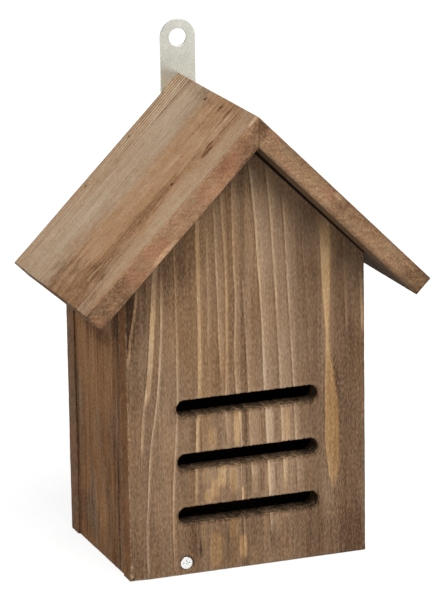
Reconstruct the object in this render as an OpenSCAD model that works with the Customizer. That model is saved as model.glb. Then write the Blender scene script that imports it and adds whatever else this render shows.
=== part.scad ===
// Ladybird house: a small gabled wooden box with three entry slots, a mitred
// roof, a floor that swings down for cleaning and a steel hanging strip.
// The front face lies towards -Y, the wall behind the house towards +Y.

/* [Body] */
// Width of the front and back panels
body_w = 140; // [110:1:180]
// Depth of the box, from the front face to the back face
body_d = 102; // [80:1:140]
// Height of the walls at the outer edges of the gable panels
wall_h = 173.5; // [130:0.5:220]
// Thickness of the front and back panels
panel_t = 12; // [9:0.5:16]
// Thickness of the side boards
side_t = 12; // [9:0.5:16]
// How far each side board stands in from the edges of the gable panels
side_inset = 0.8; // [0:0.1:3]

/* [Roof] */
// Slope of both roof boards, in degrees
roof_pitch = 45; // [40:1:50]
// How far the roof boards reach out past the edges of the panels, measured level
eave_out = 30; // [16:1:45]
// Thickness of the roof boards
roof_t = 12; // [9:0.5:16]
// Overhang of the roof in front of the front face
front_overhang = 23; // [10:1:35]

/* [Entry slots] */
// Number of slots, one above the other
slot_count = 3; // [1:1:4]
// Width of a slot from end to end
slot_w = 83; // [50:1:95]
// Height of a slot, which is the width of the cutter
slot_h = 9.6; // [7:0.1:14]
// Height of the lowest slot's centre above the base
slot_low = 34.2; // [28:0.2:42]
// Distance between the centres of neighbouring slots
slot_pitch = 30.8; // [20:0.2:34]

/* [Swinging floor] */
// Thickness of the floor board
floor_t = 12; // [9:0.5:16]
// Gap that the floor's corners leave at the side boards as it swings
swing_gap = 0.6; // [0.4:0.1:2]
// Gap between the floor and the front and back panels
floor_face_gap = 0.4; // [0.3:0.1:1.5]
// Distance of the pivot screws from the left edge of the front panel
pivot_in = 33; // [30:1:50]
// Height of the pivot screws above the base
pivot_up = 6.6; // [5:0.1:8]

/* [Pivot screws] */
// Diameter of the screw heads
head_d = 7; // [6:0.1:9]
// Diameter of the countersinks' mouths
sink_d = 8.4; // [8:0.1:10]
// Diameter of the screw shanks
shank_d = 3.5; // [3:0.1:4.5]
// Length of the pivot screws
pivot_len = 25; // [20:1:35]
// Length of the points of the pivot screws
pivot_point = 3.5; // [2.5:0.1:5]
// Thickness of the plain land round a countersunk head
head_land = 0.3; // [0.2:0.05:0.5]
// Radial gap between a screw and the hole that it turns in
turn_gap = 0.08; // [0.03:0.01:0.1]
// Gap along the axis between a head and its countersink
seat_gap = 0.1; // [0.05:0.05:0.3]
// Room left at the bottom of a screw's hole, under its point
pilot_room = 0.5; // [0.3:0.1:1]
// How far a cross recess stays in from the edge of its head, and its depth
recess_in = 1.4; // [1:0.1:1.7]
// Width of the arms of a cross recess
recess_w = 1; // [0.7:0.1:1.3]

/* [Hanging strip] */
// Width of the steel strip, whose ends are full rounds
strip_w = 21; // [18:0.5:30]
// Thickness of the strip
strip_t = 1.5; // [1:0.1:3]
// Length of the strip
strip_len = 100; // [85:1:120]
// Height of the hanging hole's centre above the ridge
hang_rise = 20.2; // [16:0.1:30]
// Diameter of the hanging hole
hang_d = 10.4; // [6:0.1:13]
// Height of the lower fixing screw above the strip's lower end
fix_low = 11; // [9:1:14]
// Distance between the two fixing screws
fix_pitch = 22; // [15:1:30]
// Diameter of the fixing screws' heads
fix_head_d = 6; // [5:0.1:8]
// Height of the fixing screws' heads
fix_head_h = 1.8; // [1.4:0.1:2.4]
// Diameter of the fixing screws' shanks
fix_shank_d = 3; // [2.4:0.1:3.6]
// Length of the fixing screws under the head
fix_len = 10; // [8:0.5:10]
// Length of the points of the fixing screws
fix_point = 3; // [2:0.5:4]
// Radial gap between a fixing screw and its hole in the strip
fix_gap = 0.2; // [0.1:0.05:0.4]
// Radial gap between a fixing screw and its pilot hole in the wood
pilot_gap = 0.05; // [0.02:0.01:0.1]

/* [Brads] */
// Diameter of the headless brads
brad_d = 1.4; // [1:0.1:2]
// Length of the brads that hold the roof boards to the gable panels
brad_len = 30; // [22:1:40]
// Length of the brads across the mitre at the ridge
ridge_brad_len = 18; // [14:1:19]
// How far the brads are punched below the wood
brad_sink = 1; // [0.5:0.1:2]
// Radial gap between a brad and its hole
brad_gap = 0.05; // [0.02:0.01:0.1]
// Upper brad over the front panel, measured down the slope from the ridge
front_brad_s = 56; // [42:1:70]
// Upper brad over the back panel, measured down the slope from the ridge
back_brad_s = 46; // [35:1:60]
// Lower brads, measured down the slope from the ridge
low_brad_s = 83; // [75:1:90]
// Ridge brads, measured down the slope from the ridge
ridge_brad_s = 6; // [5:0.5:7]
// First ridge brad, measured back from the front face
ridge_brad_y = 24; // [15:1:35]
// Distance between the two ridge brads
ridge_brad_pitch = 24; // [15:1:40]

/* [Hidden] */

// Sides of a round, and how far a cutting shape runs past what it cuts
smooth = 64;
cut = 1;

half_w = body_w / 2;
apex_h = wall_h + half_w * tan(roof_pitch);
ridge_h = apex_h + roof_t / cos(roof_pitch);
eave_x = half_w + eave_out;
eave_z = ridge_h - eave_x * tan(roof_pitch);

side_out = half_w - side_inset;
side_in = side_out - side_t;

pivot_x = -half_w + pivot_in;
floor_x0 = pivot_x - floor_reach(side_in + pivot_x);
floor_x1 = pivot_x + floor_reach(side_in - pivot_x);
floor_y0 = panel_t + floor_face_gap;
floor_y1 = body_d - panel_t - floor_face_gap;

head_r = head_d / 2;
shank_r = shank_d / 2;
sink_r = sink_d / 2;
bore_r = shank_r + turn_gap;
head_h = head_land + head_r - shank_r;
head_set = sink_r - head_r - head_land - seat_gap;
pilot_depth = head_set + pivot_len + pilot_room;

strip_r = strip_w / 2;
hang_z = ridge_h + hang_rise;
strip_top = hang_z + strip_r;
strip_bottom = strip_top - strip_len;
fix_zs = [strip_bottom + fix_low, strip_bottom + fix_low + fix_pitch];
fix_y = body_d + strip_t;
fix_r = fix_head_d / 2;
fix_shank_r = fix_shank_d / 2;
fix_round = fix_head_h / 2;

brad_r = brad_d / 2;
brad_rows = [
    [front_brad_s, panel_t / 2],
    [low_brad_s, panel_t / 2],
    [back_brad_s, body_d - panel_t / 2],
    [low_brad_s, body_d - panel_t / 2]
];
ridge_rows = [for (i = [0, 1]) [ridge_brad_s, ridge_brad_y + i * ridge_brad_pitch]];

// The origin is the middle of the whole outline, seen from above, at the base
mid_y = (fix_y + fix_head_h - front_overhang) / 2;

stain_front = [0.42, 0.30, 0.20];
stain_roof = [0.56, 0.42, 0.30];
stain_side = [0.33, 0.22, 0.14];
stain_floor = [0.36, 0.25, 0.17];
zinc = [0.88, 0.88, 0.85];
galvanised = [0.76, 0.75, 0.70];
dark_steel = [0.20, 0.17, 0.15];

// Height of the roof's underside at a distance from the middle
function underside(x) = apex_h - abs(x) * tan(roof_pitch);

// Length of floor on one side of its pivot whose corner swings clear of a wall
function floor_reach(wall) =
    sqrt(pow(wall - swing_gap, 2) - pow(max(pivot_up, floor_t - pivot_up), 2));

// Moves what is drawn from the front face into the part's own frame
module placed() {
    translate([0, -mid_y, 0]) children();
}

// Stands a flat outline, drawn in X and Z, upright between two depths
module upright(y0, y1) {
    translate([0, y1, 0]) rotate([90, 0, 0]) linear_extrude(y1 - y0) children();
}

// Turns a shape that points along +Z to point into the front or the back
module into_front(y) {
    translate([pivot_x, y, pivot_up]) rotate([-90, 0, 0]) children();
}
module into_back(y) {
    translate([pivot_x, y, pivot_up]) rotate([90, 0, 0]) children();
}

// Puts a brad's line on a roof board: side is -1 on the left and 1 on the right
module on_slope(side, s, y) {
    x = side * s * cos(roof_pitch);
    z = ridge_h - s * sin(roof_pitch);
    translate([x, y, z]) rotate([0, 180 + side * roof_pitch, 0]) children();
}

module gable_outline() {
    polygon([
        [-half_w, 0], [half_w, 0],
        [half_w, wall_h], [0, apex_h], [-half_w, wall_h]
    ]);
}

module slot_outline() {
    reach = (slot_w - slot_h) / 2;
    square([2 * reach, slot_h], center = true);
    for (side = [-1, 1])
        translate([side * reach, 0]) circle(d = slot_h, $fn = smooth);
}

module slot_rows() {
    for (i = [0 : slot_count - 1])
        translate([0, slot_low + i * slot_pitch]) slot_outline();
}

// Hole through a gable panel for a pivot screw, with its countersink
module pivot_hole() {
    translate([0, 0, -cut]) cylinder(h = panel_t + 2 * cut, r = bore_r, $fn = smooth);
    translate([0, 0, -cut])
        cylinder(h = cut + sink_r - bore_r, r1 = sink_r + cut, r2 = bore_r, $fn = smooth);
}

// Countersunk screw with a cross recess: head at the origin, tip towards +Z
module pivot_screw() {
    difference() {
        rotate_extrude($fn = smooth)
            polygon([
                [0, 0], [head_r, 0], [head_r, head_land], [shank_r, head_h],
                [shank_r, pivot_len - pivot_point], [0, pivot_len]
            ]);
        translate([0, 0, -cut]) linear_extrude(cut + recess_in) {
            square([head_d - 2 * recess_in, recess_w], center = true);
            square([recess_w, head_d - 2 * recess_in], center = true);
        }
    }
}

// Repeats a fixing screw or its hole, with the seat of the head at the origin
module at_fixings() {
    for (z = fix_zs) translate([0, fix_y, z]) rotate([90, 0, 0]) children();
}

// Pan-head screw: the seat of the head at the origin, shank towards +Z
module fixing_screw() {
    rotate_extrude($fn = smooth)
        polygon([
            [0, -fix_head_h], [fix_r - fix_round, -fix_head_h],
            [fix_r, -fix_round], [fix_r, 0], [fix_shank_r, 0],
            [fix_shank_r, fix_len - fix_point], [0, fix_len]
        ]);
}

// Headless brad, punched below the top of the roof
module brad(length) {
    translate([0, 0, brad_sink]) cylinder(h = length, r = brad_r, $fn = smooth);
}

// Hole around a brad, open at the top of the roof
module brad_hole(length) {
    translate([0, 0, -cut])
        cylinder(h = cut + brad_sink + length + brad_gap, r = brad_r + brad_gap, $fn = smooth);
}

// Repeats a brad or its hole where one roof board is nailed to the panels
module at_brads(side) {
    for (row = brad_rows) on_slope(side, row[0], row[1]) children();
}

// Repeats a brad or its hole where the left board is nailed to the right one
module at_ridge() {
    for (row = ridge_rows) on_slope(-1, row[0], row[1]) children();
}

module front_panel() {
    color(stain_front) placed() difference() {
        upright(0, panel_t) difference() {
            gable_outline();
            slot_rows();
        }
        into_front(0) pivot_hole();
        for (side = [-1, 1]) at_brads(side) brad_hole(brad_len);
    }
}

module back_panel() {
    color(stain_side) placed() difference() {
        upright(body_d - panel_t, body_d) gable_outline();
        into_back(body_d) pivot_hole();
        for (side = [-1, 1]) at_brads(side) brad_hole(brad_len);
        at_fixings() cylinder(h = fix_len + pilot_room, r = fix_shank_r + pilot_gap, $fn = smooth);
    }
}

// Side board, its top bevelled to the slope so that the roof beds on it
module side_board(side) {
    color(stain_side) placed() upright(panel_t, body_d - panel_t)
        polygon([
            [side * side_out, 0], [side * side_in, 0],
            [side * side_in, underside(side_in)], [side * side_out, underside(side_out)]
        ]);
}

module floor_board() {
    color(stain_floor) placed() difference() {
        translate([floor_x0, floor_y0, 0])
            cube([floor_x1 - floor_x0, floor_y1 - floor_y0, floor_t]);
        into_front(0) cylinder(h = pilot_depth, r = bore_r, $fn = smooth);
        into_back(body_d) cylinder(h = pilot_depth, r = bore_r, $fn = smooth);
    }
}

// Roof board: mitred at the ridge and cut square at the eave
module roof_board(side) {
    difference() {
        upright(-front_overhang, body_d)
            polygon([
                [0, ridge_h], [side * eave_x, eave_z],
                [side * (eave_x - roof_t * sin(roof_pitch)), eave_z - roof_t * cos(roof_pitch)],
                [0, apex_h]
            ]);
        at_brads(side) brad_hole(brad_len);
        at_ridge() brad_hole(ridge_brad_len);
    }
}

module left_roof() {
    color(stain_roof) placed() roof_board(-1);
}

module right_roof() {
    color(stain_roof) placed() roof_board(1);
}

module hanger_strip() {
    color(galvanised) placed() difference() {
        upright(body_d, fix_y) difference() {
            union() {
                translate([-strip_r, strip_bottom + strip_r])
                    square([strip_w, strip_len - strip_w]);
                for (z = [strip_bottom + strip_r, hang_z])
                    translate([0, z]) circle(r = strip_r, $fn = smooth);
            }
            translate([0, hang_z]) circle(d = hang_d, $fn = smooth);
            for (z = fix_zs)
                translate([0, z]) circle(r = fix_shank_r + fix_gap, $fn = smooth);
        }
    }
}

module hanger_screws() {
    color(zinc) placed() at_fixings() fixing_screw();
}

module front_screw() {
    color(zinc) placed() into_front(head_set) pivot_screw();
}

module back_screw() {
    color(zinc) placed() into_back(body_d - head_set) pivot_screw();
}

module left_roof_brads() {
    color(dark_steel) placed() at_brads(-1) brad(brad_len);
}

module right_roof_brads() {
    color(dark_steel) placed() at_brads(1) brad(brad_len);
}

module ridge_brads() {
    color(dark_steel) placed() at_ridge() brad(ridge_brad_len);
}

front_panel();
back_panel();
side_board(-1);  // left_side
side_board(1);  // right_side
floor_board();
left_roof();
right_roof();
hanger_strip();
hanger_screws();
front_screw();
back_screw();
left_roof_brads();
right_roof_brads();
ridge_brads();
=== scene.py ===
import math
import random
from collections import namedtuple

import bmesh
import bpy
from mathutils import Matrix, Vector, noise

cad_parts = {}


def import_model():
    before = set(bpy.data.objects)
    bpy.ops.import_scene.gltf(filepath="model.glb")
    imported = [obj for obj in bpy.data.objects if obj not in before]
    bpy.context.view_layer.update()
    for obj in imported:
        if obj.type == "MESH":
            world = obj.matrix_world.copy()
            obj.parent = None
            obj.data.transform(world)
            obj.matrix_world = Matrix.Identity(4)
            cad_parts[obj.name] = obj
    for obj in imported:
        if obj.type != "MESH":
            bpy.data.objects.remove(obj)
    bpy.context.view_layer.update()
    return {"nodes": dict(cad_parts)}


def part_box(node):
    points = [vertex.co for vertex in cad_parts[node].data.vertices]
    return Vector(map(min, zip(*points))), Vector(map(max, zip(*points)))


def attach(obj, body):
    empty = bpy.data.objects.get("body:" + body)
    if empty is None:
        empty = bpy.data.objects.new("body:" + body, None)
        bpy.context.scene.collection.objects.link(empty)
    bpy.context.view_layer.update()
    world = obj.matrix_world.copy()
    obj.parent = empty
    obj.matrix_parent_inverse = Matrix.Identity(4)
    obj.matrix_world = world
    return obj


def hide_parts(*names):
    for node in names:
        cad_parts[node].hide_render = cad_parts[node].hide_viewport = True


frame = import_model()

MM = 0.001
ORIGIN, X, Y, Z = (0, 0, 0), (1, 0, 0), (0, 1, 0), (0, 0, 1)

# Camera, from the fit of the photograph
CAMERA_AZ = -20.496
CAMERA_EL = 15.348
CAMERA_ROLL = -0.876
CAMERA_DIST = 2.14656
CAMERA_AIM = (0.00308, 0.00514, 0.14143)
FOCAL_PX = 3847.2
FRAME_HIGH_PX = 600
SENSOR_MM = 36.0

# Light
WORLD_LEVEL = 0.40
SUN_LEVEL = 3.1
SUN_FROM = (0.10, -0.60, 0.79)
SUN_ANGLE = 50.0

# Stage floor: size and drop in metres, grey for light, and grey and glow as seen
FLOOR_SIZE = 12.0
FLOOR_DROP = 0.0004
FLOOR_GREY = 0.45
FLOOR_SHOWN = 0.26
FLOOR_GLOW = 0.83

# The roof's slope, and sizes in mm that the frame doesn't give
PITCH = math.radians(45.0)
SLOT_COUNT = 3
SLOT_W = 83.0
SLOT_H = 9.6
SLOT_LOW = 34.2
SLOT_PITCH = 30.8
SINK_R = 4.2
BORE_R = 1.83
BRAD_HOLE_R = 0.75
HANG_R = 5.2
FIX_HOLE_R = 1.7

# Meshing of the boards, in mm
EDGE_STEP = 1.3
SLOT_STEP = 0.55
ARRIS = 0.35
FLAT_RING = 0.55
ROW_STEP = 2.4
ARRIS_STEPS = 3
SAW_WAVE = 0.11
SAW_ROUGH = 0.07
SLOT_WAVE = 0.12
SLOT_ROUGH = 0.55
CHIP_LENGTH = (1.2, 3.0)
CHIP_DEPTH = (0.25, 0.6)

# Screws in mm: shank radius, point, thread pitch, and the cross's reach, half width and depth
PIVOT_SCREW = (1.75, 3.5, 1.7, (2.1, 0.5, 1.3))
FIXING_SCREW = (1.5, 3.0, 1.3, (1.5, 0.38, 1.0))
FIXING_HEAD_R = 3.0
HEAD_LAND = 0.3
SCREW_SIDES = 64
HEAD_RINGS = 22
THREAD_STEP = 0.22
THREAD_CORE = 0.70
# Brads: (down from the ridge, behind the roof's front edge)
ROOF_BRADS = [(56, 29), (83, 29), (46, 119), (83, 119)]
RIDGE_BRADS = [(6, 47), (6, 71)]

# Materials: the part of the noise that is used, depth of the relief in metres, and mm between dark lines
NOISE_LOW, NOISE_HIGH = 0.28, 0.72
RELIEF = 0.00022
ROOF_LINE_PITCH = 2.9
WHITE = (1.0, 1.0, 1.0, 1.0)


def mm_box(node):
    lo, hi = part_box(node)
    return Vector(lo) / MM, Vector(hi) / MM


def srgb(red, green, blue):
    """Linear colour of a displayed colour from 0 to 255."""
    def linear(value):
        part = value / 255.0
        return part / 12.92 if part <= 0.04045 else ((part + 0.055) / 1.055) ** 2.4
    return linear(red), linear(green), linear(blue)


LO, HI = mm_box("front_panel")
HALF = HI.x
APEX = HI.z
SHOULDER = APEX - HALF * math.tan(PITCH)
PANEL_T = HI.y - LO.y
ROOF_LO, ROOF_HI = mm_box("left_roof")
RIDGE = ROOF_HI.z
SCREW_LO, SCREW_HI = mm_box("front_screw")
PIVOT = Vector(((SCREW_LO.x + SCREW_HI.x) / 2, (SCREW_LO.z + SCREW_HI.z) / 2))


# Node trees


class Tree:
    """Adds nodes to one material or world and links them."""

    def __init__(self, owner):
        self.owner = owner
        owner.use_nodes = True
        self.nodes = owner.node_tree.nodes
        self.links = owner.node_tree.links
        self.nodes.clear()

    def put(self, socket, value):
        if isinstance(value, bpy.types.NodeSocket):
            self.links.new(value, socket)
        else:
            socket.default_value = value

    def fill(self, node, *values):
        """Sets a node's first sockets in order and returns its first output."""
        for socket, value in zip(node.inputs, values):
            self.put(socket, value)
        return node.outputs[0]

    def math(self, operation, a, b=0.0, c=0.0):
        node = self.nodes.new("ShaderNodeMath")
        node.operation = operation
        return self.fill(node, a, b, c)

    def add(self, *terms):
        total = terms[0]
        for term in terms[1:]:
            total = self.math("ADD", total, term)
        return total

    def less(self, a, b):
        return self.math("SUBTRACT", a, b)

    def scale(self, a, b):
        return self.math("MULTIPLY", a, b)

    def weigh(self, base, *pairs):
        """A base plus each value times its weight."""
        return self.add(base, *(self.scale(value, weight) for value, weight in pairs))

    def span(self, value, low, high, to_low=0.0, to_high=1.0, smooth=False):
        node = self.nodes.new("ShaderNodeMapRange")
        node.interpolation_type = "SMOOTHSTEP" if smooth else "LINEAR"
        node.clamp = True
        return self.fill(node, value, low, high, to_low, to_high)

    def join(self, x, y, z):
        return self.fill(self.nodes.new("ShaderNodeCombineXYZ"), x, y, z)

    def noise(self, vector, detail, rough):
        """Noise from about -1 to 1."""
        node = self.nodes.new("ShaderNodeTexNoise")
        self.put(node.inputs["Vector"], vector)
        node.inputs["Scale"].default_value = 1.0
        node.inputs["Detail"].default_value = detail
        node.inputs["Roughness"].default_value = rough
        return self.span(node.outputs[0], NOISE_LOW, NOISE_HIGH, -1.0, 1.0)

    def mix(self, factor, a, b, blend="MIX"):
        node = self.nodes.new("ShaderNodeMix")
        node.data_type = "RGBA"
        node.blend_type = blend
        self.put(node.inputs[0], factor)
        for socket, colour in ((node.inputs[6], a), (node.inputs[7], b)):
            self.put(socket, colour if isinstance(colour, bpy.types.NodeSocket) else (*colour, 1.0))
        return node.outputs[2]

    def ramp(self, factor, stops):
        """Colour ramp through (place, colour) or (place, grey level) stops."""
        node = self.nodes.new("ShaderNodeValToRGB")
        self.put(node.inputs[0], factor)
        elements = node.color_ramp.elements
        while len(elements) < len(stops):
            elements.new(0.5)
        for element, (place, colour) in zip(elements, stops):
            element.position = place
            rgb = colour if hasattr(colour, "__len__") else (colour, colour, colour)
            element.color = (*rgb, 1.0)
        return node.outputs[0]

    def curve(self, value, points, reach):
        """Height, within -reach to reach, of a smooth curve through (value, height) points."""
        low, high = points[0][0], points[-1][0]
        node = self.nodes.new("ShaderNodeFloatCurve")
        self.put(node.inputs["Value"], self.span(value, low, high))
        line = node.mapping.curves[0]
        while len(line.points) < len(points):
            line.points.new(0.5, 0.5)
        for point, (x, y) in zip(line.points, points):
            point.location = ((x - low) / (high - low), 0.5 + 0.5 * y / reach)
            point.handle_type = "AUTO_CLAMPED"
        node.mapping.update()
        return self.span(node.outputs[0], 0.0, 1.0, -reach, reach)

    def attribute(self, name):
        node = self.nodes.new("ShaderNodeAttribute")
        node.attribute_name = name
        return node.outputs["Fac"]

    def bump(self, height, distance, strength):
        node = self.nodes.new("ShaderNodeBump")
        node.inputs["Strength"].default_value = strength
        node.inputs["Distance"].default_value = distance
        self.put(node.inputs["Height"], height)
        return node.outputs[0]

    def surface(self, colour, roughness, normal, specular, metallic=0.0):
        node = self.nodes.new("ShaderNodeBsdfPrincipled")
        self.put(node.inputs["Base Color"], colour)
        self.put(node.inputs["Roughness"], roughness)
        self.put(node.inputs["Normal"], normal)
        node.inputs["Specular IOR Level"].default_value = specular
        node.inputs["Metallic"].default_value = metallic
        return self.close(node.outputs[0])

    def shader(self, kind, *values):
        return self.fill(self.nodes.new(kind), *values)

    def close(self, shader, kind="ShaderNodeOutputMaterial"):
        """Links a shader to the output and returns the material or world."""
        self.links.new(shader, self.nodes.new(kind).inputs[0])
        return self.owner


# Wood


class Grain(Tree):
    """A board's material, in mm across, into and along the grain from the board's origin."""

    def __init__(self, name, origin, across, into, along, seed):
        super().__init__(bpy.data.materials.new(name))
        self.seed = seed
        place = self.nodes.new("ShaderNodeMapping")
        self.put(place.inputs["Vector"], self.nodes.new("ShaderNodeTexCoord").outputs["Object"])
        place.inputs["Scale"].default_value = (1 / MM, 1 / MM, 1 / MM)
        place.inputs["Location"].default_value = -Vector(origin)
        axes = (across, into, along)
        self.across, self.into, self.along = (self.part(place.outputs[0], axis) for axis in axes)

    def part(self, vector, direction):
        node = self.nodes.new("ShaderNodeVectorMath")
        node.operation = "DOT_PRODUCT"
        self.fill(node, vector, direction)
        return node.outputs["Value"]

    def field(self, fine, coarse, shift, detail=2.0, rough=0.5):
        """Noise with fine features per mm across and into the board, and coarse ones along it."""
        start = shift + self.seed
        vector = self.join(self.math("MULTIPLY_ADD", self.across, fine, start),
                           self.math("MULTIPLY_ADD", self.into, fine, start * 0.37),
                           self.math("MULTIPLY_ADD", self.along, coarse, start * 0.71))
        return self.noise(vector, detail, rough)

    def spots(self, places, ragged, crisp=False, rows=None):
        """Patches: each is (across, along, half width, half length, level)."""
        total = None
        rows = rows or self.across
        for across, along, half_width, half_length, level in places:
            x = self.scale(self.less(rows, across), 1.0 / half_width)
            z = self.scale(self.less(self.along, along), 1.0 / half_length)
            power = 6.0 if crisp else 2.0
            x = self.math("POWER", self.math("ABSOLUTE", x), power)
            away = self.add(x, self.scale(z, z), ragged)
            near = self.span(away, 1.5 if crisp else 1.7, 0.45 if crisp else 0.25, 0.0, level, smooth=True)
            total = near if total is None else self.add(total, near)
        return total

    def reach(self, path, bottom, top):
        """One along a path, fading between (mm outside, mm inside) of its bottom and top ends."""
        ends = [z for z, _ in path]
        low, high = min(ends), max(ends)
        return self.scale(self.span(self.along, low - bottom[0], low + bottom[1]),
                          self.span(self.along, high + top[0], high - top[1]))


# A light line: its path, its level, the widths of its core and tail in mm, and its share of tan
Streak = namedtuple("Streak", "path level core tail warm")
PATH_REACH = 75.0


def streak_lines(g, u, streaks, broken):
    """Latewood lines: a dark groove, a crisp light core and a fading tail to its right."""
    light, warm = 0.0, 0.0
    low, high = -2.0, 14.0
    # A ramp can't go below black, so this grey stands for no change
    zero = 0.35
    for streak in streaks:
        place = g.curve(g.along, sorted(streak.path), PATH_REACH)
        d = g.less(u, place)
        core, tail = streak.core, streak.tail
        shape = [(low, 0.0), (-1.6, 0.0), (-0.5, -0.33), (-0.05, 1.0), (core, 0.85), (core + 0.4, 0.42),
                 (core + tail * 0.5, 0.2), (core + tail, 0.0)]
        stops = [((x - low) / (high - low), zero + (1 - zero) * y) for x, y in shape]
        level = g.ramp(g.span(d, low, high), stops)
        level = g.math("MULTIPLY_ADD", level, 1 / (1 - zero), -zero / (1 - zero))
        level = g.scale(level, g.reach(streak.path, (3, 5), (3, 5)))
        level = g.scale(level, g.weigh(1.0, (broken, 0.35)))
        light = g.add(light, g.scale(level, streak.level))
        warm = g.add(warm, g.scale(g.math("MAXIMUM", level, 0.0), streak.warm))
    return light, warm


def between(g, u, left, right):
    """One where u lies between two paths along the grain, and how far u is right of the left one."""
    a = g.less(u, g.curve(g.along, sorted(left), PATH_REACH))
    b = g.less(g.curve(g.along, sorted(right), PATH_REACH), u)
    inside = g.scale(g.span(a, -0.3, 0.4), g.span(b, -0.3, 1.0))
    return g.scale(inside, g.reach(left, (2, 6), (2, 10))), a


QUARTERS = (0.0, 0.25, 0.5, 0.75, 1.0)


def palette(places, *colours):
    """Stops of a colour ramp, from displayed colours."""
    return [(place, srgb(*colour)) for place, colour in zip(places, colours)]


STAIN = palette(QUARTERS, (58, 42, 30), (97, 74, 55), (134, 107, 83), (162, 135, 110), (194, 168, 139))
TAN = palette((0.0, 0.4, 0.7, 1.0), (92, 62, 38), (150, 115, 78), (181, 147, 107), (214, 184, 144))
SIDE_STAIN = palette(QUARTERS, (78, 50, 30), (120, 81, 49), (160, 113, 73), (188, 140, 95),
                     (206, 164, 120))
SIDE_GREY = palette(QUARTERS, (66, 50, 36), (106, 82, 60), (138, 110, 84), (164, 136, 108),
                    (194, 166, 136))
ROOF_WARM = palette(QUARTERS, (76, 50, 30), (125, 89, 59), (169, 129, 94), (194, 155, 118),
                    (222, 190, 152))
ROOF_GREY = palette(QUARTERS, (86, 68, 52), (132, 107, 84), (168, 143, 117), (192, 168, 141),
                    (218, 196, 169))
SAWN_EDGE = palette((0.0, 0.3, 0.5, 0.7, 1.0), (70, 50, 36), (114, 84, 60), (147, 113, 84),
                    (168, 134, 102), (208, 176, 138))
# Torn fibre colours of the slot walls and inner faces, darkened as painted shade
TORN_AND_SHADED = palette((0.0, 0.35, 0.7, 1.0), (50, 39, 28), (98, 78, 57), (130, 105, 79), (172, 145, 113))
RED_WASH = srgb(178, 118, 88)
OLIVE_WASH = srgb(136, 118, 90)
RAW_WOOD = srgb(206, 178, 138)
# Near black painted shade for the inside of the house, holes, slots, the gap under the roof and dark arris
# lines
DEEP_SHADE = srgb(30, 22, 17)


def wood_finish(g, colour, tone, raised, fine, fibre, relief, edge_tone, edge_spots=(), rim=-0.12,
                sawn_palette=SAWN_EDGE, red_from=-0.1, red_spots=(), torn_grain=0.12):
    """Adds sawn edges, worn arrises, painted shade inside the house, holes and slots and under the roof,
    and relief to a board's face colour.
    """
    blotch = g.field(0.10, 0.10, 57.0)
    mottle = g.field(0.35, 0.3, 61.0, detail=3.0, rough=0.65)
    speck = g.field(1.0, 0.9, 67.0, rough=0.7)
    slant = g.join(g.scale(g.add(g.along, g.into), 0.42), g.scale(g.less(g.along, g.into), 0.07),
                   g.scale(g.across, 0.1))
    saw = g.noise(slant, 2.0, 0.6)
    edge = g.weigh(edge_tone, (blotch, 0.07), (mottle, 0.10), (speck, 0.19), (saw, 0.09))
    if edge_spots:
        edge = g.add(edge, g.spots(edge_spots, g.scale(mottle, 0.4), rows=g.into))
    sawn = g.ramp(edge, sawn_palette)
    red = g.field(0.075, 0.05, 73.0)
    if red_spots:
        red = g.add(g.scale(red, 0.4), g.spots(red_spots, g.scale(mottle, 0.5), rows=g.into))
    red = g.span(red, red_from, red_from + 0.75, 0.0, 0.65)
    olive = g.span(g.field(0.085, 0.06, 83.0), 0.05, 0.75, 0.0, 0.55)
    sawn = g.mix(red, sawn, g.mix(0.55, sawn, RED_WASH))
    sawn = g.mix(olive, sawn, g.mix(0.55, sawn, OLIVE_WASH))
    bare = g.attribute("edge")
    colour = g.mix(bare, colour, sawn)
    rim = g.scale(g.attribute("rim"), rim)
    flecks = g.span(g.add(mottle, speck), -0.2, 0.9)
    # Rim above zero shows pale raw wood flecks on an arris; below zero it paints the arris dark with the
    # deep shade colour, partly darker end grain and partly painted shade
    colour = g.mix(g.scale(g.math("MAXIMUM", rim, 0.0), flecks), colour, RAW_WOOD)
    colour = g.mix(g.math("MAXIMUM", g.scale(rim, -1.0), 0.0), colour, DEEP_SHADE)
    worn = g.scale(g.attribute("wear"), g.span(g.add(fibre, speck), -0.6, 1.0))
    colour = g.mix(worn, colour, RAW_WOOD)
    # Painted shade: by the inner mark, faces in slots and holes, under the roof and inside the house go to
    # the darkened torn colour and then to near black
    inside = g.attribute("inner")
    shaded_torn_wall = g.ramp(g.add(tone, g.scale(g.add(mottle, speck), torn_grain)), TORN_AND_SHADED)
    shaded = g.mix(g.span(inside, 0.0, 0.5), colour, shaded_torn_wall)
    shaded = g.mix(g.span(inside, 0.5, 1.0), shaded, DEEP_SHADE)
    height = g.add(g.scale(fine, 0.6), g.scale(fibre, 0.5), g.scale(raised, 0.8))
    normal = g.bump(height, RELIEF * relief, 0.6)
    rough = g.span(g.weigh(tone, (fine, 0.1)), 0.0, 1.0, 0.90, 0.70)
    return g.surface(shaded, rough, normal, 0.12)


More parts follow.
